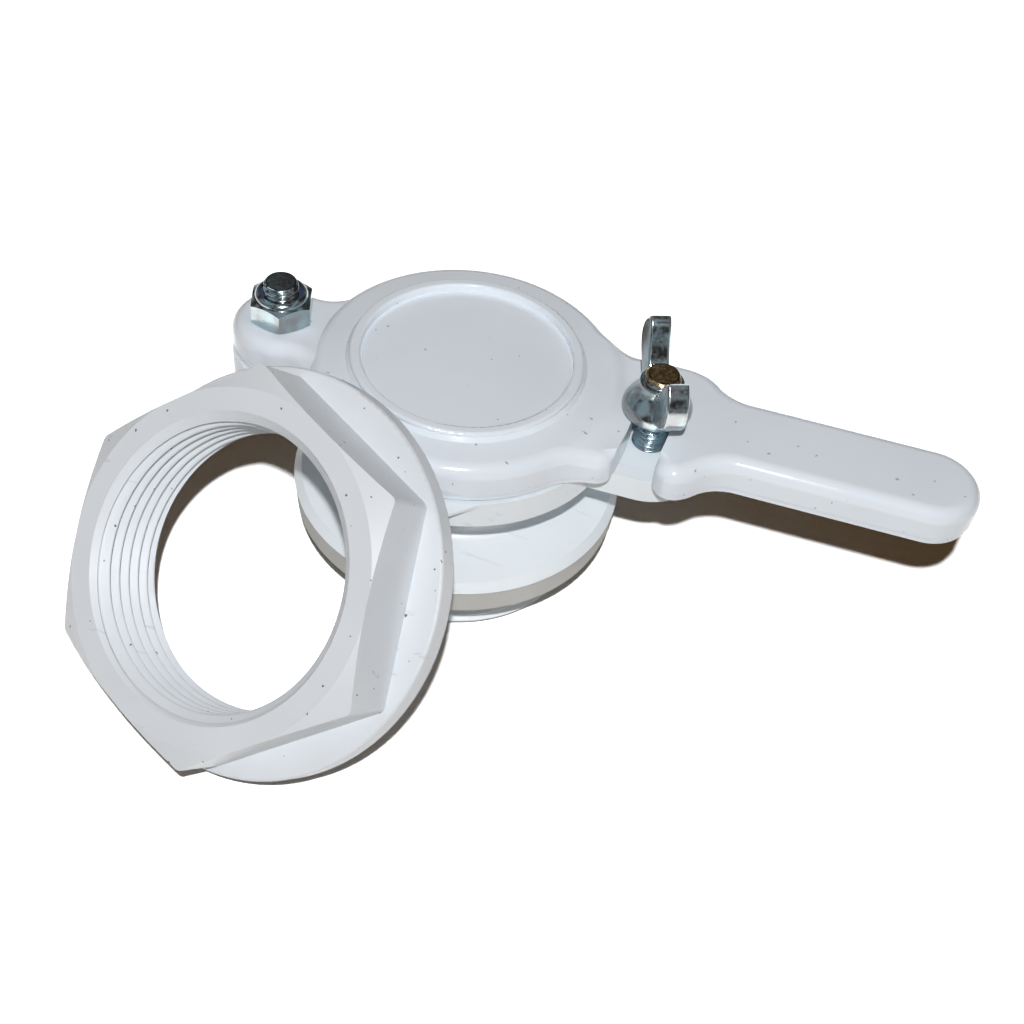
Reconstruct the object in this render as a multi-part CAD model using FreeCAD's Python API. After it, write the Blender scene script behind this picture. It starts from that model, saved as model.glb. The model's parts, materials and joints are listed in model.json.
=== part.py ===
import FreeCAD, Part
import math
import os

# A 1 1/2 inch plastic cutting gate for a tank: a body that screws through the tank wall, a gate that
# swings across its seat about a bolt, a wing nut that clamps it shut, and the nut that goes inside the tank.
# Millimetres. Origin on the axis of the passage, at the underside of the mounting flange. +Z runs up the
# passage to the gate, +X from the pivot to the handle.

V = FreeCAD.Vector
UP = V(0, 0, 1)
ORIGIN = V(0, 0, 0)

# G 1 1/2 pipe thread of the tail and of the tank nut (the ridges themselves are left plain)
THREAD_MAJOR_R = 23.9
THREAD_MINOR_R = 22.4

# Body
PASSAGE_R = 16.0
TAIL_BORE_R = 19.4
TAIL_END_Z = -17.15
TAIL_CHAMFER = 2.3
TAIL_RELIEF_R = 23.3
TAIL_RELIEF_Z = -5.4
FLANGE_R = 29.7
FLANGE_BEVEL = 1.3
FLANGE_EDGE_H = 1.45
FLANGE_ROOT_Z = 3.0
NECK_R = 18.6
NECK_FILLET = 1.8
SEAT_BOTTOM_Z = 14.3
SEAT_TOP_Z = 19.1
SEAT_R = 26.7
SEAT_DRAFT = 0.4
SEAT_LIP_R = 29.0
SEAT_LIP_T = 0.6
SEAT_LIP_FROM = -171.0
SEAT_LIP_TIP = (6.2, -28.3)
SEAT_LIP_TAPER = (10.1, -24.8)

# Pivot and clamp, both on M6 bolts
PIVOT_X = -33.5
CLAMP_X = 33.2
PIVOT_BOSS_R = 8.8
PIVOT_BOSS_BOTTOM_Z = 8.5
CLAMP_EAR_R = 10.0
WEB_T = 3.0
BOLT_R = 3.0
BOLT_AF = 10.0
BOLT_HEAD_H = 4.0
BOLT_END_CHAMFER = 0.4
HEX_CHAMFER = 0.95
PIVOT_BOLT_L = 25.0
CLAMP_BOLT_L = 20.0
CLEARANCE = 0.05
BODY_HOLE_R = 3.1

# Gate
GATE_BOTTOM_Z = 19.6
SEAL_LAND = (17.0, 23.0)
SEAL_CLEARANCE = 0.05
PARTING_Z = 20.83
PARTING_STEP = 0.3
DISC_R = 26.5
DISC_TOP_Z = 27.1
DISC_EDGE_Z = 26.5
DISC_ROUNDING = 1.4
GATE_ROUNDING = 2.4
RING_R = 20.0
RING_WIDTH = 1.9
RING_TOP_Z = 28.5
RING_ROUNDING = 0.5
RING_ROOT = 0.6
RECESS_Z = 27.0
RECESS_ROOT = 0.6
EAR_R = 8.6
EAR_TOP_Z = 26.1
EAR_ROUNDING = 2.4
EAR_WAIST_R = 6.0
ARM_TOP_Z = 26.5
PAD_Z = 25.7
LOBE_HALF_W = 14.2
LOBE_END_X = 36.3
LOBE_ROOT_R = 12.0
HANDLE_HALF_W = 8.2
HANDLE_START_X = 49.3
HANDLE_TIP_X = 88.2
SLOT_HALF_W = 3.3
SLOT_SWEEP = 22.0
SLOT_MOUTH_R = 3.2
SLOT_MOUTH_STEP = 0.11
HANDLE_WALL = 2.4
HANDLE_CORE_DEPTH = 3.6
HANDLE_RIBS = 3
HANDLE_RIB_T = 2.0

# Gasket under the flange
GASKET_R = 29.3
GASKET_T = 5.2
GASKET_ROUNDING = 0.5

# Pivot lock nut
LOCK_NUT_H = 5.4
LOCK_NUT_HEX_H = 4.45
LOCK_NUT_TURN = -73.0
LOCK_NUT_DOME = [(4.55, 4.45), (4.52, 4.75), (4.3, 5.15), (3.95, 5.4)]
LOCK_NUT_LIP_R = 3.7
INSERT_H = 1.4
INSERT_DROP = 0.7

# Wing nut
WING_NUT_Z = 26.0
WING_HUB_R = 5.95
WING_HUB_SIDE = [(5.1, 0), (5.95, 1.3), (5.3, 3.1), (4.15, 4.9), (3.75, 6.0)]
WING_HUB_TOP_R = 3.75
WING_HUB_H = 6.8
WING_T = 3.7
WING_ROUNDING = 0.5
WING_INSIDE = [(2.0, 5.4), (3.9, 7.0), (5.6, 9.5), (7.3, 12.6), (8.5, 13.5)]
WING_OUTSIDE = [(8.5, 13.5), (9.8, 12.4), (11.6, 8.9), (11.3, 6.9), (8.9, 4.2), (5.2, 1.4)]
WING_AZIMUTH = 111.0

# Tank nut, lying loose against the edge of the gate
TANK_NUT_H = 15.75
TANK_NUT_RIM_R = 33.36
TANK_NUT_RIM_T = 4.0
TANK_NUT_RIM_EDGE = 0.5
TANK_NUT_AF = 55.6
TANK_NUT_CHAMFER_R = 27.9
TANK_NUT_CHAMFER_ANGLE = 25.0
TANK_NUT_MOUTH_R = 24.2
TANK_NUT_CORNER_R = 1.2
TANK_NUT_BACK = V(-19.75, -39.92, 7.07)
TANK_NUT_AXIS = V(-0.3131, -0.6618, 0.6812)
TANK_NUT_TURN = -9.0


def revolve(points):
    """Solid turned about Z from an (r, z) outline with straight sides."""
    wire = Part.makePolygon([V(r, 0, z) for r, z in points + points[:1]])
    return Part.Face(wire).revolve(ORIGIN, UP, 360)


def disc(x, radius, z0, z1):
    return Part.makeCylinder(radius, z1 - z0, V(x, 0, z0))


def slab(x0, x1, half_w, z0, z1):
    return Part.makeBox(x1 - x0, 2 * half_w, z1 - z0, V(x0, -half_w, z0))


def hexagon(across_flats, turn=0.0):
    r = across_flats / 2 / math.cos(math.pi / 6)
    corners = [math.radians(turn + 60 * k) for k in range(7)]
    return Part.Face(Part.makePolygon([V(r * math.cos(a), r * math.sin(a), 0) for a in corners]))


def arc(a, mid, b):
    return Part.Arc(a, mid, b).toShape()


def round_edges(solid, radius, chosen):
    edges = [e for e in solid.Edges if chosen(e)]
    return solid.makeFillet(radius, edges)


def at_height(z):
    """Chooses the edges that lie flat at height z."""
    return lambda e: abs(e.BoundBox.ZMin - z) < 1e-3 and abs(e.BoundBox.ZMax - z) < 1e-3


def joined(first, *others):
    return first.multiFuse(list(others)).removeSplitter()


# Body: tail, flange, neck and seat plate are one turning, with ears for the two bolts

def body_turning():
    outline = [
        (TAIL_BORE_R, TAIL_END_Z),
        (THREAD_MAJOR_R - TAIL_CHAMFER, TAIL_END_Z),
        (THREAD_MAJOR_R, TAIL_END_Z + TAIL_CHAMFER),
        (THREAD_MAJOR_R, TAIL_RELIEF_Z),
        (TAIL_RELIEF_R, TAIL_RELIEF_Z),
        (TAIL_RELIEF_R, 0),
        (FLANGE_R, 0),
        (FLANGE_R - FLANGE_BEVEL, FLANGE_EDGE_H),
        (NECK_R, FLANGE_ROOT_Z),
        (NECK_R, SEAT_BOTTOM_Z),
        (SEAT_R + SEAT_DRAFT, SEAT_BOTTOM_Z),
        (SEAT_R, SEAT_TOP_Z),
        (PASSAGE_R, SEAT_TOP_Z),
        (PASSAGE_R, FLANGE_ROOT_Z),
        (TAIL_BORE_R, -FLANGE_ROOT_Z),
    ]
    turning = revolve(outline)

    def neck_corner(e):
        box = e.BoundBox
        on_neck = abs(box.XMax - NECK_R) < 1e-3 and box.ZMax - box.ZMin < 1e-3
        return on_neck and box.ZMin > 0
    return round_edges(turning, NECK_FILLET, neck_corner)


def seat_lip():
    """Thin lip round the near side of the seat plate that tapers back into it at its free end."""
    low = SEAT_TOP_Z - SEAT_LIP_T
    far = 2 * SEAT_LIP_R
    start = math.radians(SEAT_LIP_FROM)
    bounds = [V(0, 0, low), V(far * math.cos(start), far * math.sin(start), low), V(-far, -far, low),
              V(SEAT_LIP_TIP[0], -far, low), V(*SEAT_LIP_TIP, low), V(*SEAT_LIP_TAPER, low), V(0, 0, low)]
    wedge = Part.Face(Part.makePolygon(bounds)).extrude(UP * SEAT_LIP_T)
    return disc(0, SEAT_LIP_R, low, SEAT_TOP_Z).cut(disc(0, NECK_R, low, SEAT_TOP_Z)).common(wedge)


def pivot_boss():
    boss = disc(PIVOT_X, PIVOT_BOSS_R, PIVOT_BOSS_BOTTOM_Z, SEAT_TOP_Z)
    bridge = slab(PIVOT_X, -NECK_R, PIVOT_BOSS_R, SEAT_BOTTOM_Z, SEAT_TOP_Z)
    web = slab(PIVOT_X, -(PASSAGE_R + NECK_R) / 2, WEB_T / 2, PIVOT_BOSS_BOTTOM_Z, SEAT_BOTTOM_Z)
    return joined(boss, bridge, web)


def clamp_ear():
    return joined(disc(CLAMP_X, CLAMP_EAR_R, SEAT_BOTTOM_Z, SEAT_TOP_Z),
                  slab(NECK_R, CLAMP_X, CLAMP_EAR_R, SEAT_BOTTOM_Z, SEAT_TOP_Z))


def valve_body():
    body = joined(body_turning(), seat_lip(), pivot_boss(), clamp_ear())
    body = body.cut(disc(PIVOT_X, BODY_HOLE_R, TAIL_END_Z, RING_TOP_Z))
    body = body.cut(disc(CLAMP_X, BODY_HOLE_R, TAIL_END_Z, RING_TOP_Z))
    return body


def flange_gasket():
    gasket = disc(0, GASKET_R, -GASKET_T, 0)
    gasket = round_edges(gasket, GASKET_ROUNDING, at_height(-GASKET_T))
    return gasket.cut(disc(0, THREAD_MAJOR_R + CLEARANCE, -GASKET_T, 0))


# Gate: one moulding. Every outline is drawn twice, full size above the parting line and a step
# smaller below it. The disc, the clamp lobes and the handle share one outline and one top surface.

def on_circle(centre, radius, towards):
    """The point of a circle that lies towards another point."""
    return centre + (towards - centre).normalize() * radius


def hollow_arc(start, end, centre, radius):
    """Arc of a concave corner between two tangent points."""
    return arc(start, on_circle(centre, radius, (start + end) * 0.5), end)


def gate_outline(inset):
    """Plan of the disc, the clamp lobes and the handle."""
    disc_r = DISC_R - inset
    lobe = LOBE_HALF_W - inset
    grip = HANDLE_HALF_W - inset
    tip_x = HANDLE_TIP_X - inset
    root_r = LOBE_ROOT_R + inset
    root_y = lobe + root_r
    root_centre = V(math.sqrt((disc_r + root_r) ** 2 - root_y ** 2), root_y, 0)
    on_disc = on_circle(ORIGIN, disc_r, root_centre)
    lobe_start = V(root_centre.x, lobe, 0)
    lobe_end = V(LOBE_END_X, lobe, 0)
    handle_start = V(HANDLE_START_X, grip, 0)
    bend_middle = (lobe_end + handle_start) * 0.5
    half_run, half_drop = (HANDLE_START_X - LOBE_END_X) / 2, (lobe - grip) / 2
    bend_r = (half_run ** 2 + half_drop ** 2) / (2 * half_drop)
    outer_bend = on_circle(lobe_end - V(0, bend_r, 0), bend_r, (lobe_end + bend_middle) * 0.5)
    inner_bend = on_circle(handle_start + V(0, bend_r, 0), bend_r, (handle_start + bend_middle) * 0.5)
    nose_start = V(tip_x - grip, grip, 0)

    def side(flip):
        def m(p):
            return V(p.x, p.y * flip, 0)
        return [
            hollow_arc(m(on_disc), m(lobe_start), m(root_centre), root_r),
            Part.makeLine(m(lobe_start), m(lobe_end)),
            arc(m(lobe_end), m(outer_bend), m(bend_middle)),
            arc(m(bend_middle), m(inner_bend), m(handle_start)),
            Part.makeLine(m(handle_start), m(nose_start)),
        ]
    nose = arc(nose_start, V(tip_x, 0, 0), V(nose_start.x, -grip, 0))
    back = arc(on_disc, V(-disc_r, 0, 0), V(on_disc.x, -on_disc.y, 0))
    return Part.Face(Part.Wire(Part.__sortEdges__(side(1) + [nose, back] + side(-1))))


def ear_outline(inset):
    """Plan of the pivot ear, its waist flowing into the disc on both sides."""
    ear_r = EAR_R - inset
    disc_r = DISC_R - inset
    waist_r = EAR_WAIST_R + inset
    pivot = V(PIVOT_X, 0, 0)
    reach = -PIVOT_X
    along = ((ear_r + waist_r) ** 2 + reach ** 2 - (disc_r + waist_r) ** 2) / (2 * reach)
    waist = V(PIVOT_X + along, math.sqrt((ear_r + waist_r) ** 2 - along ** 2), 0)
    on_ear = on_circle(pivot, ear_r, waist)
    on_disc = on_circle(ORIGIN, disc_r, waist)
    inner = V(-RING_R, on_disc.y / 2, 0)

    def side(flip):
        def m(p):
            return V(p.x, p.y * flip, 0)
        return [hollow_arc(m(on_ear), m(on_disc), m(waist), waist_r), Part.makeLine(m(on_disc), m(inner))]
    end = arc(on_ear, V(PIVOT_X - ear_r, 0, 0), V(on_ear.x, -on_ear.y, 0))
    closing = Part.makeLine(inner, V(inner.x, -inner.y, 0))
    return Part.Face(Part.Wire(Part.__sortEdges__(side(1) + [end, closing] + side(-1))))


def under_gate_top():
    """The space under the gate's top surface, turned about the disc's axis: a gentle dome, a soft
    step down to the pad round the clamp bolt, and a slow rise to the level of the handle."""
    far = HANDLE_TIP_X + DISC_R
    dome_foot = V(DISC_R - DISC_ROUNDING, 0, DISC_EDGE_Z)
    level = V(HANDLE_START_X, 0, ARM_TOP_Z)
    curve = Part.BSplineCurve()
    curve.interpolate([dome_foot, V(CLAMP_X - WING_HUB_R, 0, PAD_Z + 0.08), V(CLAMP_X, 0, PAD_Z),
                       V(CLAMP_X + WING_HUB_R, 0, PAD_Z + 0.12), level],
                      InitialTangent=V(1, 0, -0.1), FinalTangent=V(1, 0, 0.05))
    corners = [level, V(far, 0, ARM_TOP_Z), V(far, 0, PARTING_Z), V(0, 0, PARTING_Z),
               V(0, 0, DISC_TOP_Z), V(RING_R, 0, DISC_TOP_Z), dome_foot]
    edges = [Part.makeLine(p, q) for p, q in zip(corners, corners[1:])]
    return Part.Face(Part.Wire([curve.toShape()] + edges)).revolve(ORIGIN, UP, 360)


def slot_tool(half_w):
    """Arc-shaped slot about the pivot: closed round the clamp bolt, open towards -Y."""
    reach = CLAMP_X - PIVOT_X
    height = RING_TOP_Z
    pivot = V(PIVOT_X, 0, 0)
    ring = Part.makeCylinder(reach + half_w, height, pivot, UP, SLOT_SWEEP)
    ring = ring.cut(Part.makeCylinder(reach - half_w, height, pivot, UP, SLOT_SWEEP))
    ring.rotate(pivot, UP, -SLOT_SWEEP)
    return joined(ring, disc(CLAMP_X, half_w, 0, height))


def slotted(solid):
    """Cuts the slot. Its mouth is rounded on a slightly narrower cut, so the rounding of the rim
    ends at the mouth and the slot's own edges stay sharp."""
    solid = solid.cut(slot_tool(SLOT_HALF_W - SLOT_MOUTH_STEP))

    def mouth_corner(e):
        upright_edge = e.BoundBox.XLength < 0.01 and e.BoundBox.YLength < 0.01
        c = e.CenterOfMass
        near_mouth = c.y < -LOBE_HALF_W + 1.5 and abs(c.x - CLAMP_X) < 2 * SLOT_HALF_W
        return upright_edge and near_mouth
    return round_edges(solid, SLOT_MOUTH_R, mouth_corner).cut(slot_tool(SLOT_HALF_W))


def in_slot(edge):
    """True for an edge on either side of the slot or round its closed end."""
    p = edge.valueAt((edge.FirstParameter + edge.LastParameter) / 2)
    off_centre = abs(math.hypot(p.x - PIVOT_X, p.y) - (CLAMP_X - PIVOT_X))
    return abs(off_centre - SLOT_HALF_W) < 0.02 or math.hypot(p.x - CLAMP_X, p.y) < SLOT_HALF_W + 0.02


def is_wall(face):
    u0, u1, v0, v1 = face.ParameterRange
    return abs(face.normalAt((u0 + u1) / 2, (v0 + v1) / 2).z) < 1e-3


def round_rim(solid, radius, outside=0.0):
    """Rounds the edges where a wall meets the top, beyond a radius from the axis, but not the slot's."""
    def on_rim(e):
        c = e.CenterOfMass
        if e.BoundBox.ZMin < PARTING_Z + 1 or math.hypot(c.x, c.y) < outside or in_slot(e):
            return False
        return sum(is_wall(face) for face in solid.ancestorsOfType(e, Part.Face)) == 1
    return round_edges(solid, radius, on_rim)


def layer(outline, z0, z1):
    return outline.translated(V(0, 0, z0)).extrude(UP * (z1 - z0))


def gate_blank():
    upper = slotted(layer(gate_outline(0), PARTING_Z, RING_TOP_Z)).common(under_gate_top())
    upper = round_rim(upper, GATE_ROUNDING)
    lower = slotted(layer(gate_outline(PARTING_STEP), GATE_BOTTOM_Z, PARTING_Z))
    return joined(upper, lower)


def gate_pivot_ear():
    ear = layer(ear_outline(0), PARTING_Z, EAR_TOP_Z)
    ear = round_rim(ear, EAR_ROUNDING, outside=DISC_R)
    return joined(ear, layer(ear_outline(PARTING_STEP), GATE_BOTTOM_Z, PARTING_Z))


def raised_ring():
    """The ring on the disc, with soft edges and a hollow root where it meets the dome."""
    inner = RING_R - RING_WIDTH
    foot = RING_R + RING_ROOT
    ring = revolve([(inner, RECESS_Z - 1), (foot, RECESS_Z - 1), (foot, DISC_TOP_Z - 0.02),
                    (RING_R, DISC_TOP_Z + RING_ROOT), (RING_R, RING_TOP_Z), (inner, RING_TOP_Z)])
    return round_edges(ring, RING_ROUNDING, at_height(RING_TOP_Z))


def recess_tool():
    inner = RING_R - RING_WIDTH
    tool = disc(0, inner, RECESS_Z, RING_TOP_Z + 1)
    return round_edges(tool, RECESS_ROOT, at_height(RECESS_Z))


def sealing_land():
    """Proud ring of the underside that slides on the seat."""
    land_in, land_out = SEAL_LAND
    top = GATE_BOTTOM_Z + 1
    low = SEAT_TOP_Z + SEAL_CLEARANCE
    return disc(0, land_out, low, top).cut(disc(0, land_in, low, top))


def handle_core():
    """Pockets in the handle's underside, parted by cross ribs, that keep the moulding's wall even."""
    half_w = HANDLE_HALF_W - PARTING_STEP - HANDLE_WALL
    start = HANDLE_START_X + HANDLE_WALL
    end = HANDLE_TIP_X - HANDLE_HALF_W
    pitch = (end - start + HANDLE_RIB_T) / (HANDLE_RIBS + 1)
    pockets = []
    for k in range(HANDLE_RIBS + 1):
        x = start + k * pitch
        pocket = slab(x, x + pitch - HANDLE_RIB_T, half_w, GATE_BOTTOM_Z, GATE_BOTTOM_Z + HANDLE_CORE_DEPTH)
        pockets.append(round_edges(pocket, HANDLE_RIB_T / 2,
                                   lambda e: e.BoundBox.ZLength > HANDLE_CORE_DEPTH / 2))
    return pockets


def gate():
    whole = joined(gate_blank(), gate_pivot_ear(), raised_ring(), sealing_land())
    whole = whole.cut(recess_tool())
    for pocket in handle_core():
        whole = whole.cut(pocket)
    return whole.cut(disc(PIVOT_X, BOLT_R + CLEARANCE, 0, RING_TOP_Z))


# Bolts and nuts

def turned_hex(across_flats, height, turn=0.0, both_ends=True):
    """Hexagonal prism whose corners are turned off at 30 degrees."""
    prism = hexagon(across_flats, turn).extrude(UP * height)
    corner = across_flats / 2 / math.cos(math.pi / 6) + 0.01
    flat = across_flats / 2 * HEX_CHAMFER
    cut = (corner - flat) * math.tan(math.radians(30))
    start = [(0, 0), (flat, 0), (corner, cut)] if both_ends else [(0, 0), (corner, 0)]
    return prism.common(revolve(start + [(corner, height - cut), (flat, height), (0, height)]))


def hex_bolt(x, seat_z, length, turn):
    """Hexagon-head bolt put in from below, its head against the plastic at seat_z."""
    head = turned_hex(BOLT_AF, BOLT_HEAD_H, turn, both_ends=False)
    head.rotate(V(0, 0, BOLT_HEAD_H / 2), V(1, 0, 0), 180)
    shank = Part.makeCylinder(BOLT_R, length, V(0, 0, BOLT_HEAD_H))
    end_z = BOLT_HEAD_H + length
    shank = shank.makeChamfer(BOLT_END_CHAMFER, [e for e in shank.Edges if at_height(end_z)(e)])
    return joined(head, shank).translated(V(x, 0, seat_z - BOLT_HEAD_H))


def pivot_bolt():
    return hex_bolt(PIVOT_X, PIVOT_BOSS_BOTTOM_Z, PIVOT_BOLT_L, turn=0)


def clamp_bolt():
    return hex_bolt(CLAMP_X, SEAT_BOTTOM_Z, CLAMP_BOLT_L, turn=0)


def pivot_lock_nut():
    """Hexagon with a domed collar that is rolled in over the nylon insert."""
    base = turned_hex(BOLT_AF, LOCK_NUT_HEX_H, LOCK_NUT_TURN)
    dome = Part.BSplineCurve()
    dome.interpolate([V(r, 0, z) for r, z in LOCK_NUT_DOME])
    top = V(LOCK_NUT_DOME[-1][0], 0, LOCK_NUT_DOME[-1][1])
    foot = V(LOCK_NUT_DOME[0][0], 0, LOCK_NUT_DOME[0][1])
    corners = [top, V(0, 0, LOCK_NUT_H), V(0, 0, LOCK_NUT_HEX_H - 1), V(foot.x, 0, LOCK_NUT_HEX_H - 1), foot]
    edges = [dome.toShape()] + [Part.makeLine(p, q) for p, q in zip(corners, corners[1:])]
    nut = joined(base, Part.Face(Part.Wire(edges)).revolve(ORIGIN, UP, 360))
    nut = nut.cut(Part.makeCylinder(BOLT_R + CLEARANCE, LOCK_NUT_H))
    recess = INSERT_H + INSERT_DROP
    nut = nut.cut(Part.makeCylinder(LOCK_NUT_LIP_R, recess, V(0, 0, LOCK_NUT_H - recess)))
    return nut.translated(V(PIVOT_X, 0, EAR_TOP_Z + CLEARANCE))


def lock_nut_insert():
    ring = Part.makeCylinder(LOCK_NUT_LIP_R, INSERT_H - CLEARANCE)
    ring = ring.cut(Part.makeCylinder(BOLT_R + CLEARANCE / 2, INSERT_H))
    low = LOCK_NUT_H - INSERT_DROP - INSERT_H
    return ring.translated(V(PIVOT_X, 0, EAR_TOP_Z + CLEARANCE + low))


def curve_through(points):
    """Smooth edge through (r, z) points."""
    curve = Part.BSplineCurve()
    curve.interpolate([V(r, 0, z) for r, z in points])
    return curve.toShape()


def wing_outline():
    """One wing seen flat: up the inside, round the tip, down the bulging outside to the hub's foot."""
    core, foot = V(WING_INSIDE[0][0], 0, WING_OUTSIDE[-1][1]), V(WING_OUTSIDE[-1][0], 0, WING_OUTSIDE[-1][1])
    start = V(WING_INSIDE[0][0], 0, WING_INSIDE[0][1])
    edges = [curve_through(WING_INSIDE), curve_through(WING_OUTSIDE), Part.makeLine(foot, core),
             Part.makeLine(core, start)]
    return Part.Face(Part.Wire(edges))


def wing(azimuth):
    blade = wing_outline()
    blade.translate(V(0, -WING_T / 2, 0))
    blade = blade.extrude(V(0, WING_T, 0))

    def rim(e):
        on_side = abs(abs(e.CenterOfMass.y) - WING_T / 2) < 1e-3
        return on_side and e.BoundBox.YLength < 1e-3 and e.Length > 5
    blade = round_edges(blade, WING_ROUNDING, rim)
    blade.rotate(ORIGIN, UP, azimuth)
    return blade


def wing_nut():
    neck, foot = V(WING_HUB_TOP_R, 0, WING_HUB_SIDE[-1][1]), V(WING_HUB_SIDE[0][0], 0, 0)
    corners = [neck, V(WING_HUB_TOP_R, 0, WING_HUB_H), V(0, 0, WING_HUB_H), ORIGIN, foot]
    edges = [curve_through(WING_HUB_SIDE)] + [Part.makeLine(p, q) for p, q in zip(corners, corners[1:])]
    hub = Part.Face(Part.Wire(edges)).revolve(ORIGIN, UP, 360)
    hub = round_edges(hub, WING_ROUNDING / 2, at_height(WING_HUB_H))
    nut = joined(hub, wing(WING_AZIMUTH), wing(WING_AZIMUTH + 180))
    nut = nut.cut(Part.makeCylinder(BOLT_R + CLEARANCE, 3 * WING_HUB_H))
    return nut.translated(V(CLAMP_X, 0, WING_NUT_Z))


# Tank nut

def tank_nut():
    rim = Part.makeCylinder(TANK_NUT_RIM_R, TANK_NUT_RIM_T)
    rim = round_edges(rim, TANK_NUT_RIM_EDGE, lambda e: e.BoundBox.ZLength < 1e-3)
    across = hexagon(TANK_NUT_AF, TANK_NUT_TURN).extrude(UP * TANK_NUT_H)
    across = round_edges(across, TANK_NUT_CORNER_R, lambda e: e.BoundBox.ZLength > TANK_NUT_H / 2)
    fall = (TANK_NUT_RIM_R - TANK_NUT_CHAMFER_R) * math.tan(math.radians(TANK_NUT_CHAMFER_ANGLE))
    turned = revolve([(0, 0), (TANK_NUT_RIM_R, 0), (TANK_NUT_RIM_R, TANK_NUT_H - fall),
                      (TANK_NUT_CHAMFER_R, TANK_NUT_H), (0, TANK_NUT_H)])
    mouth = TANK_NUT_MOUTH_R - THREAD_MINOR_R
    bore = revolve([(0, 0), (TANK_NUT_MOUTH_R, 0), (THREAD_MINOR_R, mouth),
                    (THREAD_MINOR_R, TANK_NUT_H - mouth), (TANK_NUT_MOUTH_R, TANK_NUT_H), (0, TANK_NUT_H)])
    nut = joined(across.common(turned), rim).cut(bore)
    axis = V(TANK_NUT_AXIS).normalize()
    level = axis.cross(UP).normalize() * -1
    upward = axis.cross(level)
    nut.Placement = FreeCAD.Placement(TANK_NUT_BACK, FreeCAD.Rotation(level, upward, axis, "ZXY"))
    return nut


NODES = {
    "valve_body": valve_body,
    "flange_gasket": flange_gasket,
    "gate": gate,
    "pivot_bolt": pivot_bolt,
    "pivot_lock_nut": pivot_lock_nut,
    "lock_nut_insert": lock_nut_insert,
    "clamp_bolt": clamp_bolt,
    "wing_nut": wing_nut,
    "tank_nut": tank_nut,
}

os.makedirs("parts", exist_ok=True)
for name, make in NODES.items():
    make().exportStep("parts/" + name + ".step")
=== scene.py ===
import json
import math

import bmesh
import bpy
from mathutils import Matrix, Vector

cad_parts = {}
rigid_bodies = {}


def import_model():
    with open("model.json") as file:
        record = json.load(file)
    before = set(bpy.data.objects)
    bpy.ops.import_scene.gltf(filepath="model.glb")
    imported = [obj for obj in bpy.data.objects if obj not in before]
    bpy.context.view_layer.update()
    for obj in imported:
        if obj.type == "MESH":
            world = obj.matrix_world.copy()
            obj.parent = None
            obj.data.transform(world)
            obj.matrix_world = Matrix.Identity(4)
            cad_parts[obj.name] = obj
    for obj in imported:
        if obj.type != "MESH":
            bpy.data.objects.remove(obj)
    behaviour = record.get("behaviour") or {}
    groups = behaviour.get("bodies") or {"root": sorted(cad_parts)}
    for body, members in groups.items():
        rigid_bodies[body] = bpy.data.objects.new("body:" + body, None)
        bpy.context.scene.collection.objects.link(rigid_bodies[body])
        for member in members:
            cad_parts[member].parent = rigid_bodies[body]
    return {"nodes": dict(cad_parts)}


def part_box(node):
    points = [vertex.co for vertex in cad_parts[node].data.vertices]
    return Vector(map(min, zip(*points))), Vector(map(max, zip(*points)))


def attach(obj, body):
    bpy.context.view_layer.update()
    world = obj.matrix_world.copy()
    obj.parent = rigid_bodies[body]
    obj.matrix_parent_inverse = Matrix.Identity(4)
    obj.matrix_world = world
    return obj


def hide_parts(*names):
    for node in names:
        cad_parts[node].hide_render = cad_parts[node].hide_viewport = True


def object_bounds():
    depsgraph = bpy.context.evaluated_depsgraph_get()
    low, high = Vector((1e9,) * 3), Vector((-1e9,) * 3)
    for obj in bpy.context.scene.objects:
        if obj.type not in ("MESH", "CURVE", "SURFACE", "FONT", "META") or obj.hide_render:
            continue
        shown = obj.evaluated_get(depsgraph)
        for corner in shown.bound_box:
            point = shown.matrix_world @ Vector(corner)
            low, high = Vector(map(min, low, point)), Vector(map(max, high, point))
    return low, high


for leftover in list(bpy.data.objects):
    bpy.data.objects.remove(leftover)
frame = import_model()
CAD_LOW, CAD_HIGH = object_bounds()


# Body. One white polypropylene moulding: threaded tail, flange, neck and seat plate, with a boss for the
# pivot bolt and an ear for the clamp bolt. The tail's G 1 1/2 pipe thread takes a nut from inside the tank;
# its ridges are crisp, while the moulded faces are smooth.

MM = 0.001


class Link:
    """One output socket. Arithmetic on it adds Math nodes to its tree."""

    def __init__(self, socket, tree):
        self.socket = socket
        self.tree = tree

    def _math(self, operation, a, b):
        return Shader.add(self.tree, "ShaderNodeMath", {"operation": operation}, {0: a, 1: b})

    def __add__(self, other):
        return self._math("ADD", self, other)

    def __radd__(self, other):
        return self._math("ADD", other, self)

    def __sub__(self, other):
        return self._math("SUBTRACT", self, other)

    def __rsub__(self, other):
        return self._math("SUBTRACT", other, self)

    def __mul__(self, other):
        return self._math("MULTIPLY", self, other)

    def __rmul__(self, other):
        return self._math("MULTIPLY", other, self)


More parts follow.
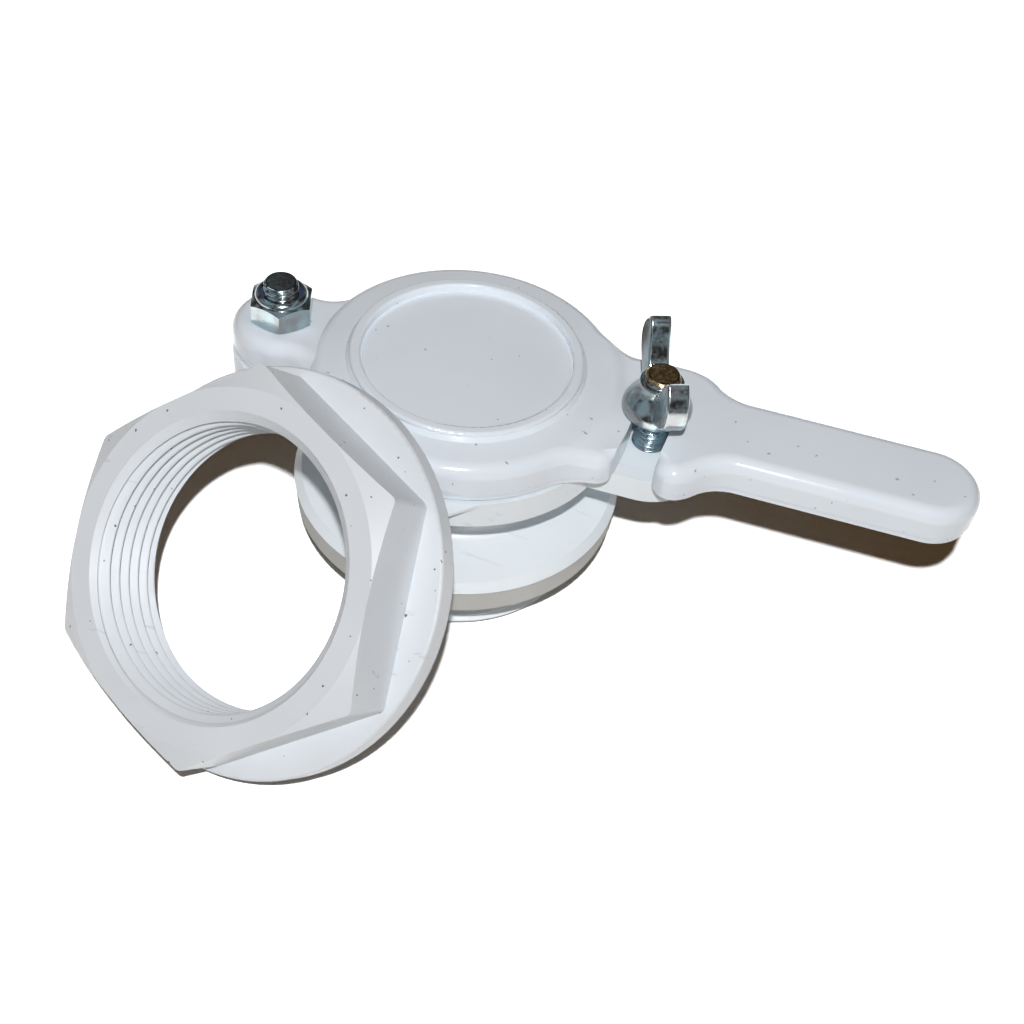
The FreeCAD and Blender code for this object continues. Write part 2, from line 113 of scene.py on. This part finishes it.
class Shader:
    """A material with its surface shader, and one method that adds any other node to a tree."""

    def __init__(self, name):
        self.material = bpy.data.materials.new(name)
        self.material.use_nodes = True
        self.tree = self.material.node_tree
        self.surface = self.tree.nodes["Principled BSDF"]

    @staticmethod
    def feed(tree, node, inputs):
        """Links or sets a node's inputs, which are keyed by name or number."""
        for name, value in inputs.items():
            if isinstance(value, Link):
                tree.links.new(value.socket, node.inputs[name])
            else:
                node.inputs[name].default_value = value

    @staticmethod
    def add(tree, kind, settings, inputs, output=0):
        """A node with its settings and inputs in place, as a link from one of its outputs."""
        node = tree.nodes.new(kind)
        for name, value in settings.items():
            setattr(node, name, value)
        Shader.feed(tree, node, inputs)
        return Link(node.outputs[output], tree)

    def node(self, kind, settings=None, output=0, **inputs):
        """A node of this material. An input's keyword is its name, or the letter i and its number."""
        keyed = {int(name[1:]) if name[1:].isdigit() else name.replace("_", " "): value
                 for name, value in inputs.items()}
        return Shader.add(self.tree, kind, settings or {}, keyed, output)

    def place(self, scale=(1, 1, 1), turn=(0, 0, 0)):
        """Object coordinates in metres, turned and scaled."""
        where = self.node("ShaderNodeTexCoord", output="Object")
        return self.node("ShaderNodeMapping", Vector=where, Scale=scale, Rotation=turn)

    def noise(self, where, scale, detail, roughness=0.5):
        return self.node("ShaderNodeTexNoise", Vector=where, Scale=scale, Detail=detail,
                         Roughness=roughness)

    def band(self, value, low, high, to_low=0.0, to_high=1.0):
        """Value stretched so that low gives to_low and high gives to_high, and held there beyond."""
        return self.node("ShaderNodeMapRange", {"interpolation_type": "SMOOTHSTEP"}, i0=value, i1=low,
                         i2=high, i3=to_low, i4=to_high)

    def blend(self, factor, a, b):
        """From colour a to colour b. A Mix node takes them in inputs 6 and 7 and gives output 2."""
        return self.node("ShaderNodeMix", {"data_type": "RGBA"}, i0=factor, i6=a, i7=b, output=2)

    def bump(self, height, distance, strength):
        return self.node("ShaderNodeBump", Height=height, Distance=distance, Strength=strength)

    def set(self, **values):
        """Finishes the surface shader and gives the material."""
        keyed = {name.replace("_", " "): value for name, value in values.items()}
        Shader.feed(self.tree, self.surface, keyed)
        return self.material


# Each mark on the plastic: its noise cells in a metre, and the band of the noise over which it sets in.
CLOUD_CELLS, CLOUD_BAND = 45, (0.35, 0.65)
HAZE_CELLS, HAZE_BAND, HAZE_ROUGHENS = 160, (0.35, 0.7), 0.05
PEEL_CELLS = 900
SPECK_CELLS, SPECK_BAND, SPECK_COLOUR = 1150, (0.845, 0.86), (0.09, 0.085, 0.08, 1)
SCUFF_CELLS, SCUFF_BAND = 32, (0.5, 0.62)
SCRATCH_CELLS, SCRATCH_TURN, SCRATCH_BAND = (60, 900, 500), (0.3, 0.2, 0.9), (0.66, 0.72)
SCRATCH_SHOWS, SCRATCH_DARKENS = 0.35, 0.55
PLASTIC_RELIEF, PLASTIC_RELIEF_STRENGTH = 0.02 * MM, 0.25
PLASTIC_IOR = 1.49


def moulded_plastic(name, colour, shade, gloss, dirt=0.0, scored=0.0):
    """Moulded plastic that drifts from colour to shade: fine orange peel, and handling haze in the gloss.
    dirt gives small dark specks, and scored gives patches of fine scratches."""
    s = Shader(name)
    where = s.place()
    cloud = s.noise(where, CLOUD_CELLS, detail=3)
    haze = s.noise(where, HAZE_CELLS, detail=4, roughness=0.6)
    peel = s.noise(where, PEEL_CELLS, detail=1)
    speck = s.band(s.noise(where, SPECK_CELLS, detail=0), *SPECK_BAND) * dirt
    lines = s.noise(s.place(scale=SCRATCH_CELLS, turn=SCRATCH_TURN), 1.0, detail=2)
    scuff = s.band(s.noise(where, SCUFF_CELLS, detail=1), *SCUFF_BAND)
    scratch = s.band(lines, *SCRATCH_BAND) * scuff * scored
    scratched = tuple(SCRATCH_DARKENS * part for part in colour[:3]) + (1,)
    tint = s.blend(s.band(cloud, *CLOUD_BAND), colour, shade)
    tint = s.blend(scratch * SCRATCH_SHOWS, tint, scratched)
    tint = s.blend(speck, tint, SPECK_COLOUR)
    rough = s.band(haze, *HAZE_BAND, gloss, gloss + HAZE_ROUGHENS)
    relief = s.bump(peel - scratch, PLASTIC_RELIEF, PLASTIC_RELIEF_STRENGTH)
    return s.set(Base_Color=tint, Roughness=rough, Normal=relief, IOR=PLASTIC_IOR)


CAD_MERGE = 0.0001 * MM


def cad_copy(name, node, dropped):
    """A copy of a CAD node's mesh, merged, without the faces that a finer one stands in for, and shaded
    by the same normals as before."""
    mesh = frame["nodes"][node].data.copy()
    mesh.name = name
    finish = mesh.attributes.new("finish", "FLOAT_VECTOR", "CORNER")
    finish.data.foreach_set("vector", [c for corner in mesh.corner_normals for c in corner.vector])
    work = bmesh.new()
    work.from_mesh(mesh)
    bmesh.ops.remove_doubles(work, verts=work.verts, dist=CAD_MERGE)
    bmesh.ops.delete(work, geom=[f for f in work.faces if dropped(f)], context="FACES")
    work.to_mesh(mesh)
    work.free()
    mesh.normals_split_custom_set([tuple(c.vector) for c in mesh.attributes["finish"].data])
    mesh.attributes.remove(mesh.attributes["finish"])
    return mesh


THREAD_STEPS = 120
THREAD_RUN_OUT = 1.5
THREAD_MERGE = 0.002 * MM
THREAD_SLIVER = 0.001 * MM
THREAD_SHARP = math.radians(40)


def thread_mesh(name, profile, pitch, low, high, shape, place=Matrix()):
    """A helical surface about Z: one pitch of profile, spun with a climb, then held between low and high
    and inside the radius that shape gives. profile is (radius, share of the pitch), and the helix starts
    and ends THREAD_RUN_OUT pitches beyond low and high."""
    turns = int((high - low) / pitch + 2 * THREAD_RUN_OUT)
    start = low - THREAD_RUN_OUT * pitch
    work = bmesh.new()
    row = [work.verts.new((radius, 0, start + share * pitch)) for radius, share in profile]
    row = [work.edges.new(pair) for pair in zip(row, row[1:])]
    bmesh.ops.spin(work, geom=row, axis=(0, 0, 1), cent=(0, 0, 0), dvec=(0, 0, pitch / THREAD_STEPS),
                   angle=2 * math.pi, steps=THREAD_STEPS, use_merge=False)
    first = work.verts[:] + work.edges[:] + work.faces[:]
    for turn in range(1, turns):
        again = bmesh.ops.duplicate(work, geom=first)["geom"]
        bmesh.ops.translate(work, vec=(0, 0, turn * pitch),
                            verts=[v for v in again if isinstance(v, bmesh.types.BMVert)])
    for v in work.verts:
        height = min(max(v.co.z, low), high)
        radius = math.hypot(v.co.x, v.co.y)
        wanted = shape(radius, height)
        v.co = (v.co.x * wanted / radius, v.co.y * wanted / radius, height)
    bmesh.ops.remove_doubles(work, verts=work.verts, dist=THREAD_MERGE)
    bmesh.ops.dissolve_degenerate(work, edges=work.edges, dist=THREAD_SLIVER)
    bmesh.ops.recalc_face_normals(work, faces=work.faces)
    work.transform(place)
    mesh = bpy.data.meshes.new(name)
    work.to_mesh(mesh)
    work.free()
    mesh.shade_smooth()
    mesh.set_sharp_from_angle(angle=THREAD_SHARP)
    return mesh


def coat(mesh, material):
    """Gives a whole mesh one material."""
    mesh.materials.clear()
    mesh.materials.append(material)


def show(mesh, material, body, slot, *stands_for):
    """Puts a finished mesh on its body."""
    piece = bpy.data.objects.new(mesh.name, mesh)
    bpy.context.scene.collection.objects.link(piece)
    coat(mesh, material)
    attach(piece, body)
    if stands_for:
        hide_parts(*stands_for)


PIPE_PITCH = 2.309 * MM
PIPE_MAJOR_R = 23.9 * MM
PIPE_MINOR_R = 22.4 * MM
# Half of a rounded ridge: share of the pitch, share of the height.
RIDGE = ((0.0, 0.0), (0.07, 0.04), (0.16, 0.2), (0.34, 0.8), (0.43, 0.96), (0.5, 1.0))


def ridge(root_r, crest_r):
    """One turn of a rounded ridge, from root to crest and back."""
    shares = RIDGE + tuple((1 - share, height) for share, height in reversed(RIDGE[:-1]))
    return [(root_r + height * (crest_r - root_r), share) for share, height in shares]


TAIL_END_Z, TAIL_END_R = -17.15 * MM, 21.6 * MM
TAIL_THREAD_TOP_Z = -5.4 * MM
TOUCH = 0.01 * MM
WALL_NORMAL = 0.9
body_white = moulded_plastic("body_white", colour=(0.86, 0.915, 0.95, 1), shade=(0.83, 0.885, 0.925, 1),
                             gloss=0.30, scored=0.6)


def on_tail_wall(face):
    """True for the plain wall and end chamfer that the thread stands in for. A wall's normal lies within
    WALL_NORMAL along the axis, and an end face's beyond it."""
    reach = [math.hypot(v.co.x, v.co.y) for v in face.verts]
    below = max(v.co.z for v in face.verts) < TAIL_THREAD_TOP_Z + TOUCH
    return below and min(reach) > TAIL_END_R - TOUCH and abs(face.normal.z) < WALL_NORMAL


show(cad_copy("body_moulding", "valve_body", on_tail_wall), body_white, "body", "valve_body", "valve_body")
tail_thread = thread_mesh("tail_thread", ridge(PIPE_MINOR_R, PIPE_MAJOR_R), PIPE_PITCH, TAIL_END_Z,
                          TAIL_THREAD_TOP_Z, lambda r, z: min(r, TAIL_END_R + z - TAIL_END_Z))
show(tail_thread, body_white, "body", "valve_body")


# Gasket. A flat ring punched from soft off-white rubber sheet, about 5 mm thick, slipped over the tail. The
# tank nut squeezes it between the flange and the tank wall.

RUBBER, RUBBER_SHADE = (0.66, 0.66, 0.64, 1), (0.61, 0.61, 0.59, 1)
RUBBER_CLOUD_CELLS, RUBBER_CLOUD_BAND = 90, (0.35, 0.65)
GRAIN_CELLS, GRAIN_BAND, GRAIN_ROUGHNESS = 1400, (0.3, 0.7), (0.62, 0.75)
GRAIN_RELIEF, GRAIN_RELIEF_STRENGTH = 0.04 * MM, 0.4


def gasket_rubber():
    s = Shader("gasket_rubber")
    where = s.place()
    cloud = s.noise(where, RUBBER_CLOUD_CELLS, detail=3)
    grain = s.noise(where, GRAIN_CELLS, detail=2)
    tint = s.blend(s.band(cloud, *RUBBER_CLOUD_BAND), RUBBER, RUBBER_SHADE)
    return s.set(Base_Color=tint, Roughness=s.band(grain, *GRAIN_BAND, *GRAIN_ROUGHNESS),
                 Normal=s.bump(grain, GRAIN_RELIEF, GRAIN_RELIEF_STRENGTH))


coat(frame["nodes"]["flange_gasket"].data, gasket_rubber())


# Gate. The second white moulding, glossier than the body: a disc with a raised ring, an ear for the pivot
# and an arm that runs out into the handle. The arm is slotted about the pivot and swings onto the clamp bolt.

gate_white = moulded_plastic("gate_white", colour=(0.82, 0.885, 0.955, 1), shade=(0.80, 0.86, 0.935, 1),
                             gloss=0.14, dirt=0.5)
coat(frame["nodes"]["gate"].data, gate_white)


# Bolts, lock nut and wing nut. M6 steel, headed and rolled, with bright zinc plate of a cool cast; the cut
# end of the clamp bolt is yellow. The lock nut grips the pivot bolt with its blue nylon ring, and the wing
# nut clamps the gate shut.

GOLD = (0.62, 0.44, 0.22, 1)
GOLD_FADE = 0.4 * MM
BLOOM_CELLS, BLOOM_BAND = 260, (0.4, 0.62)
HANDLING_CELLS, HANDLING_BAND, HANDLING_ROUGHENS = 1500, (0.35, 0.7), 0.14
ZINC_RELIEF, ZINC_RELIEF_STRENGTH = 0.03 * MM, 0.35


def zinc(name, colour, stain, rough, gold_from=1.0):
    """Zinc plate with a bloom that drifts from colour to stain, and handling marks. Above the height
    gold_from it is yellow; the default lies far above the object."""
    s = Shader(name)
    where = s.place()
    bloom = s.noise(where, BLOOM_CELLS, detail=3)
    marks = s.noise(where, HANDLING_CELLS, detail=3)
    tint = s.blend(s.band(bloom, *BLOOM_BAND), colour, stain)
    height = s.node("ShaderNodeSeparateXYZ", Vector=where, output="Z")
    tint = s.blend(s.band(height, gold_from, gold_from + GOLD_FADE), tint, GOLD)
    return s.set(Base_Color=tint, Metallic=1.0,
                 Roughness=s.band(marks, *HANDLING_BAND, rough, rough + HANDLING_ROUGHENS),
                 Normal=s.bump(marks, ZINC_RELIEF, ZINC_RELIEF_STRENGTH))


zinc_bright = zinc("zinc_bright", colour=(0.44, 0.55, 0.57, 1), stain=(0.36, 0.37, 0.37, 1), rough=0.13)
zinc_stud = zinc("zinc_stud", colour=(0.46, 0.62, 0.70, 1), stain=(0.42, 0.48, 0.50, 1), rough=0.15,
                 gold_from=33.2 * MM)
BOLT_PITCH = 1.0 * MM
BOLT_MAJOR_R = 3.0 * MM
BOLT_MINOR_R = 2.4 * MM
BOLT_END_R = 2.6 * MM
PIVOT_HEAD_TOP_Z = 8.5 * MM
CLAMP_HEAD_TOP_Z = 14.3 * MM


def threaded_bolt(node, head_top, metal):
    """A bolt's CAD copy with its plain shank changed for the rolled thread."""
    low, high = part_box(node)
    axis_x, end_z = (low[0] + high[0]) / 2, high[2]

    def on_shank(face):
        reach = [math.hypot(v.co.x - axis_x, v.co.y) for v in face.verts]
        thin = BOLT_END_R - TOUCH < min(reach) and max(reach) < BOLT_MAJOR_R + TOUCH
        above_head = min(v.co.z for v in face.verts) > head_top - TOUCH
        return thin and above_head and abs(face.normal.z) < WALL_NORMAL

    show(cad_copy(node + "_forged", node, on_shank), metal, "body", node, node)
    thread = thread_mesh(node + "_thread", ridge(BOLT_MINOR_R, BOLT_MAJOR_R), BOLT_PITCH, head_top, end_z,
                         lambda r, z: min(r, BOLT_END_R + end_z - z), Matrix.Translation((axis_x, 0, 0)))
    show(thread, metal, "body", node)


threaded_bolt("pivot_bolt", PIVOT_HEAD_TOP_Z, zinc_bright)
threaded_bolt("clamp_bolt", CLAMP_HEAD_TOP_Z, zinc_stud)
for name in ("pivot_lock_nut", "wing_nut"):
    coat(frame["nodes"][name].data, zinc_bright)
insert_blue = moulded_plastic("insert_blue", colour=(0.05, 0.07, 0.14, 1), shade=(0.04, 0.06, 0.12, 1),
                              gloss=0.35)
coat(frame["nodes"]["lock_nut_insert"].data, insert_blue)


# Tank nut. A hexagon with a round flange, satin white plastic with turned faces and a G 1 1/2 thread. It is
# loose here and leans on the edge of the gate; in use it goes on the tail from inside the tank.

NUT_H = 15.75 * MM
NUT_MOUTH_R = 24.2 * MM
NUT_BACK = Vector((-19.75, -39.92, 7.07)) * MM
NUT_AXIS = Vector((-0.3131, -0.6618, 0.6812)).normalized()
NUT_LEVEL = Vector((0, 0, 1)).cross(NUT_AXIS).normalized()
NUT_TURN = Matrix((NUT_LEVEL, NUT_AXIS.cross(NUT_LEVEL), NUT_AXIS)).transposed()
NUT_PLACE = Matrix.Translation(NUT_BACK) @ NUT_TURN.to_4x4()
nut_white = moulded_plastic("nut_white", colour=(0.785, 0.825, 0.87, 1), shade=(0.75, 0.79, 0.835, 1),
                            gloss=0.40, dirt=0.9, scored=1.0)


def in_nut_bore(face):
    local = [NUT_PLACE.inverted() @ v.co for v in face.verts]
    inside = max(math.hypot(p.x, p.y) for p in local) < NUT_MOUTH_R + 2 * TOUCH
    return inside and abs(face.normal.dot(NUT_AXIS)) < WALL_NORMAL


show(cad_copy("nut_turning", "tank_nut", in_nut_bore), nut_white, "tank_nut", "tank_nut", "tank_nut")
nut_thread = thread_mesh("nut_thread", ridge(PIPE_MAJOR_R, PIPE_MINOR_R), PIPE_PITCH, 0, NUT_H,
                         lambda r, z: max(r, NUT_MOUTH_R - min(z, NUT_H - z)), NUT_PLACE)
show(nut_thread, nut_white, "tank_nut", "tank_nut")


# Table and backdrop. A sheet of white paper under the object and a white distance behind it. The paper
# throws little light back up, so that what leans over it stays shaded below.

PAPER_Z = CAD_LOW[2] - 0.1 * MM
PAPER_HALF = 3.0
PAPER_SEEN, PAPER_THROWS = (1.0, 1.0, 1.0, 1), (0.13, 0.12, 0.105, 1)
ROOM_GLOW, ROOM_STRENGTH = (1.0, 0.52, 0.12, 1), 0.05


def staged(name, work):
    """An object of the stage from a finished bmesh."""
    mesh = bpy.data.meshes.new(name)
    work.to_mesh(mesh)
    work.free()
    piece = bpy.data.objects.new(name, mesh)
    bpy.context.scene.collection.objects.link(piece)
    return piece


def table_paper():
    """Paper that is one colour to the eye and in reflections, and a darker one for the light it throws."""
    s = Shader("table_paper")
    seen = s.node("ShaderNodeLightPath", output="Is Camera Ray")
    seen = seen + s.node("ShaderNodeLightPath", output="Is Glossy Ray")
    seen = seen + s.node("ShaderNodeLightPath", output="Is Transmission Ray")
    tint = s.blend(seen, PAPER_THROWS, PAPER_SEEN)
    return s.set(Base_Color=tint, Roughness=1.0, Specular_IOR_Level=0.0)


sheet = bmesh.new()
bmesh.ops.create_grid(sheet, x_segments=1, y_segments=1, size=PAPER_HALF,
                      matrix=Matrix.Translation((0, 0, PAPER_Z)))
floor = staged("floor", sheet)
coat(floor.data, table_paper())

world = bpy.data.worlds.new("studio")
world.use_nodes = True
bpy.context.scene.world = world
studio = world.node_tree
studio.nodes.clear()
to_the_eye = Shader.add(studio, "ShaderNodeLightPath", {}, {}, "Is Camera Ray")
room = Shader.add(studio, "ShaderNodeBackground", {}, {"Color": ROOM_GLOW, "Strength": ROOM_STRENGTH})
backdrop = Shader.add(studio, "ShaderNodeBackground", {}, {"Strength": 1.0})
distance = Shader.add(studio, "ShaderNodeMixShader", {}, {0: to_the_eye, 1: room, 2: backdrop})
studio.links.new(distance.socket, studio.nodes.new("ShaderNodeOutputWorld").inputs["Surface"])


# Lamps. A small bare flash above the lens gives the crisp shadow, four soft panels fill the shaded sides,
# and a dim room stands round the object for the metal to reflect.

LAMP_AT = Vector((42.7, -188.5, 241.3)) * MM
LAMP_R = 4 * MM
KEY_ON_OBJECT = 30.0
KEY_ON_FLOOR = 85.0
PANEL_COLOUR = (0.86, 0.93, 1.0)
ROOM_R = 2.0
PATCH_STRETCH, PATCH_CELLS, PATCH_BAND = (1, 1, 1.6), 1.1, (0.47, 0.56)
WALL_DARK, WALL_LIT = (0.040, 0.031, 0.026, 1), (0.34, 0.38, 0.42, 1)


def lamp_group(name, members):
    group = bpy.data.collections.new(name)
    for member in members:
        group.objects.link(member)
    return group


on_floor = lamp_group("on_floor", [floor])
on_object = lamp_group("on_object", [o for o in bpy.data.objects if o.type == "MESH" and o is not floor])


def key_lamp(name, power, receivers):
    """The flash. It doesn't fade with distance, and lights only its receivers."""
    data = bpy.data.lights.new(name, "POINT")
    data.energy = power
    data.shadow_soft_size = LAMP_R
    data.use_nodes = True
    tree = data.node_tree
    steady = Shader.add(tree, "ShaderNodeLightFalloff", {}, {"Strength": 1.0}, "Constant")
    Shader.feed(tree, tree.nodes["Emission"], {"Strength": steady})
    lamp = bpy.data.objects.new(name, data)
    lamp.location = LAMP_AT
    bpy.context.scene.collection.objects.link(lamp)
    lamp.light_linking.receiver_collection = receivers


def soft_panel(name, place, size, power):
    """A large soft panel turned to the object, which fills its shadows but not the floor's."""
    data = bpy.data.lights.new(name, "AREA")
    data.energy = power
    data.size = size
    data.color = PANEL_COLOUR
    panel = bpy.data.objects.new(name, data)
    panel.location = place
    panel.rotation_euler = Vector(place).to_track_quat("Z", "Y").to_euler()
    panel.visible_glossy = False
    bpy.context.scene.collection.objects.link(panel)
    panel.light_linking.receiver_collection = on_object


def room_walls():
    """Dark walls with soft lit patches."""
    s = Shader("room_walls")
    where = s.place(scale=PATCH_STRETCH)
    lit = s.band(s.noise(where, PATCH_CELLS, detail=1), *PATCH_BAND)
    tint = s.blend(lit, WALL_DARK, WALL_LIT)
    return s.set(Base_Color=(0, 0, 0, 1), Specular_IOR_Level=0.0, Emission_Color=tint, Emission_Strength=1.0)


key_lamp("key", KEY_ON_OBJECT, on_object)
key_lamp("key_floor", KEY_ON_FLOOR, on_floor)
soft_panel("fill_front", place=(0.0, -0.75, 0.10), size=0.9, power=1.3)
soft_panel("fill_right", place=(0.80, 0.10, 0.20), size=0.8, power=1.0)
soft_panel("fill_left", place=(-0.80, 0.10, 0.20), size=0.8, power=0.8)
soft_panel("fill_back", place=(0.0, 0.80, 0.25), size=0.8, power=1.0)

dome = bmesh.new()
bmesh.ops.create_uvsphere(dome, u_segments=48, v_segments=24, radius=ROOM_R)
dim_room = staged("dim_room", dome)
for ray in ("camera", "diffuse", "transmission", "shadow", "volume_scatter"):
    setattr(dim_room, "visible_" + ray, False)
coat(dim_room.data, room_walls())


# Camera. It looks down on the valve from the front, a little to the right and close by, with the handle
# running away to the right.

EYE = Vector((42.643, -176.228, 183.637)) * MM
FORWARD = Vector((-0.120313, 0.673221, -0.729588))
RIGHT = Vector((0.959074, 0.268580, 0.089674))
LENS, SENSOR = 49.213, 36
NEAREST = 10 * MM
camera_data = bpy.data.cameras.new("camera")
camera_data.lens = LENS
camera_data.sensor_width = SENSOR
camera_data.clip_start = NEAREST
camera = bpy.data.objects.new("camera", camera_data)
back = -FORWARD.normalized()
side = (RIGHT - back * RIGHT.dot(back)).normalized()
camera.matrix_world = Matrix.Translation(EYE) @ Matrix((side, back.cross(side), back)).transposed().to_4x4()
bpy.context.scene.collection.objects.link(camera)
bpy.context.scene.camera = camera
bpy.context.scene.view_settings.view_transform = "Standard"
